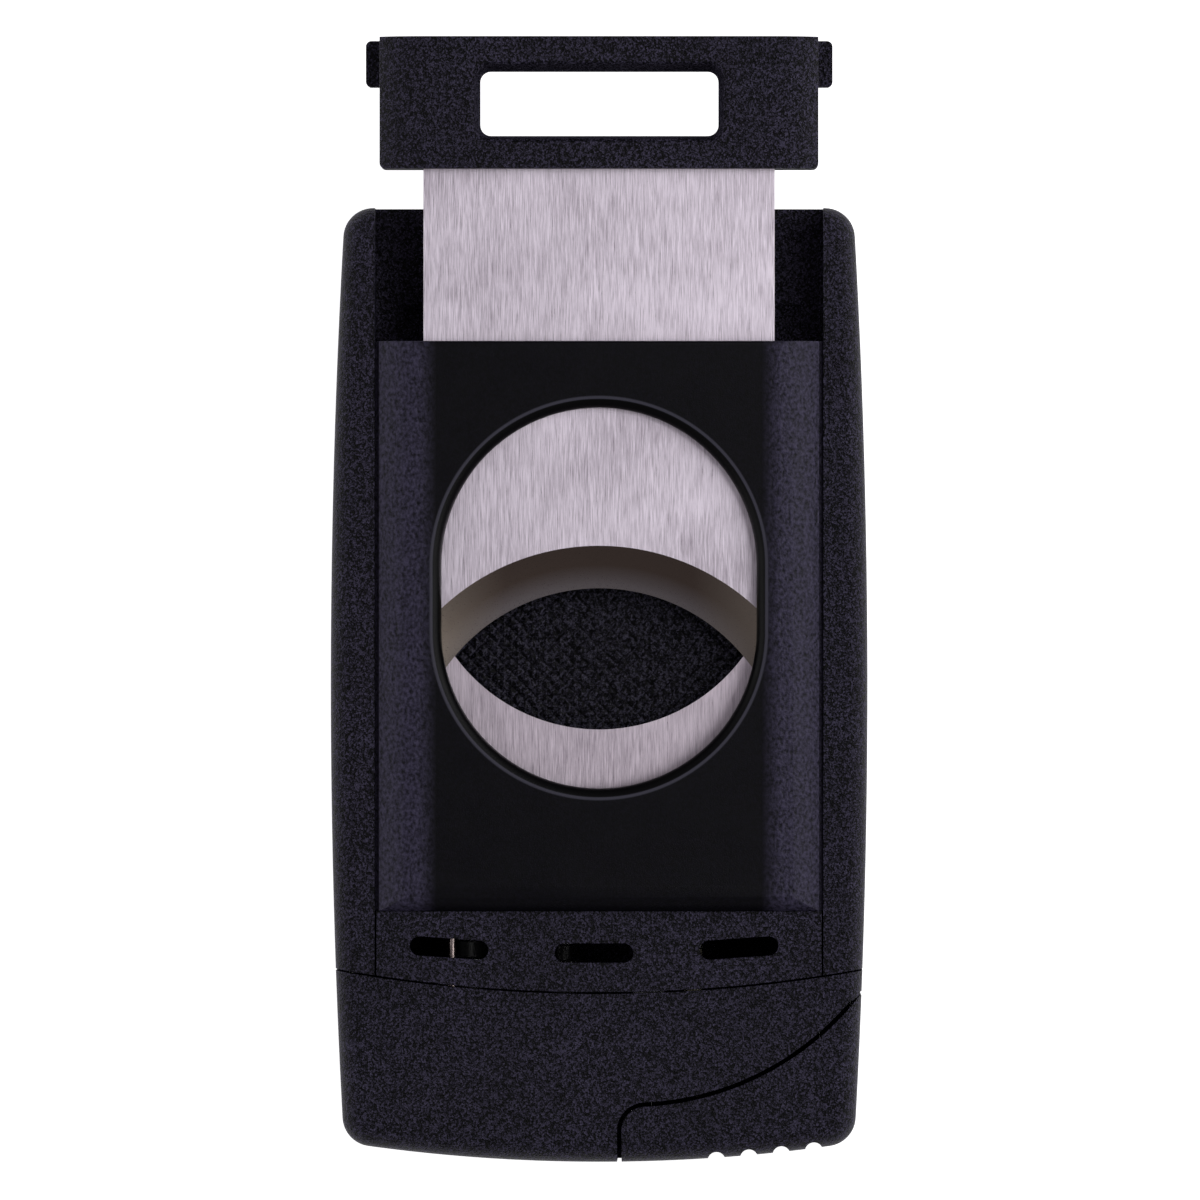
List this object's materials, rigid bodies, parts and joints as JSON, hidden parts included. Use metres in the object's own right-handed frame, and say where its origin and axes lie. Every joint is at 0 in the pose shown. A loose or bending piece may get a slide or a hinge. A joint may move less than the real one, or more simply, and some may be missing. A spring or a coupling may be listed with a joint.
{
  "type": "pocket torch lighter with cutter",
  "caption": "Pocket gas torch lighter lying on its back, with a pull-out guillotine cutter, closed eye, finger-window handle and a roll-back corner lid.",
  "frame": {"origin": "middle of the rear face that it rests on, level with the widest place of the body", "axes": "+Y towards the pull end of the cutter, +Z out of the front plate, +X to the lid's side"},
  "size_m": [0.043, 0.09, 0.0205],
  "materials": {
    "powder_coat": "rough black powder coat, fine grain",
    "plate_coat": "satin black, leather-like grain on the flanks",
    "pad_rubber": "matt black, knurled",
    "blade_steel": "brushed along the pull",
    "spring_steel": "satin",
    "black_screws": "black oxide",
    "brass": "turned",
    "adjuster_metal": "anodised, knurled rim",
    "cast_zinc": "cast, chemically blackened",
    "tank_plastic": "moulded, smoke grey",
    "igniter_plastic": "moulded",
    "plunger_plastic": "moulded",
    "tube_plastic": "extruded",
    "seal_rubber": "moulded"
  },
  "bodies": {
    "root": {"main_body": "powder_coat", "left_rail": "powder_coat", "right_rail": "powder_coat", "rear_cover": "powder_coat", "rear_screws": "black_screws", "hood": "powder_coat", "hood_screws": "black_screws", "hinge_pin": "spring_steel", "flap_spring": "spring_steel", "cutter_bed": "plate_coat", "stop_pad": "pad_rubber", "lower_blade": "blade_steel", "lower_blade_rivets": "spring_steel", "cover_plate": "plate_coat", "cover_screws": "spring_steel", "fuel_tank": "tank_plastic", "tank_end_cap": "tank_plastic", "refill_valve": "brass", "filler_seal": "seal_rubber", "filler_spring": "spring_steel", "gas_valve": "brass", "valve_spring": "spring_steel", "gas_tube": "tube_plastic", "burner_block": "cast_zinc", "jet_nozzles": "brass", "jet_guard": "black_screws", "igniter_body": "igniter_plastic", "igniter_spring": "spring_steel", "ignition_wire": "brass", "rocker_pin": "spring_steel"},
    "cutter": {"slide_handle": "powder_coat", "upper_blade": "blade_steel", "handle_rivets": "spring_steel"},
    "lid": {"flip_cap": "powder_coat", "cap_bracket": "black_screws", "cap_rivets": "spring_steel"},
    "rocker": {"ignition_rocker": "spring_steel"},
    "plunger": {"igniter_plunger": "plunger_plastic"},
    "valve_needle": {"valve_stem": "plunger_plastic"},
    "adjuster": {"flame_adjuster": "adjuster_metal"},
    "filler": {"filler_stem": "brass"}
  },
  "joints": [
    {"name": "cutter_slide", "type": "slide", "parent": "root", "child": "cutter", "axis": [0, 1, 0], "range_m": [-0.0137, 0.0146]},
    {"name": "lid_hinge", "type": "hinge", "parent": "root", "child": "lid", "pos_m": [0.01961, -0.02395, 0.0095], "axis": [0, 0, 1], "range_deg": [0, 50], "stiffness_Nm_per_rad": 0.02},
    {"name": "rocker_pivot", "type": "hinge", "parent": "root", "child": "rocker", "pos_m": [0.004, -0.026, 0.01295], "axis": [0, 0, 1], "range_deg": [-16.5, 0.5]},
    {"name": "plunger_press", "type": "slide", "parent": "root", "child": "plunger", "axis": [0, 1, 0], "range_m": [0, 0.0044], "deforming": ["igniter_spring"]},
    {"name": "valve_lift", "type": "slide", "parent": "root", "child": "valve_needle", "axis": [0, 1, 0], "range_m": [0, 0.0021], "deforming": ["valve_spring"]},
    {"name": "flame_adjust", "type": "hinge", "parent": "root", "child": "adjuster", "pos_m": [-0.007, 0.038, 0.00695], "axis": [0, 1, 0], "range_deg": [-150, 150]},
    {"name": "filler_press", "type": "slide", "parent": "root", "child": "filler", "axis": [0, 1, 0], "range_m": [-0.001, 0], "stiffness_N_per_m": 300, "deforming": ["filler_spring"]}
  ],
  "couplings": [
    {"joint": "rocker_pivot", "follows": "lid_hinge", "ratio": -0.32},
    {"joint": "plunger_press", "follows": "lid_hinge", "m_per_rad": 0.0049274},
    {"joint": "valve_lift", "follows": "lid_hinge", "m_per_rad": 0.0022918}
  ]
}
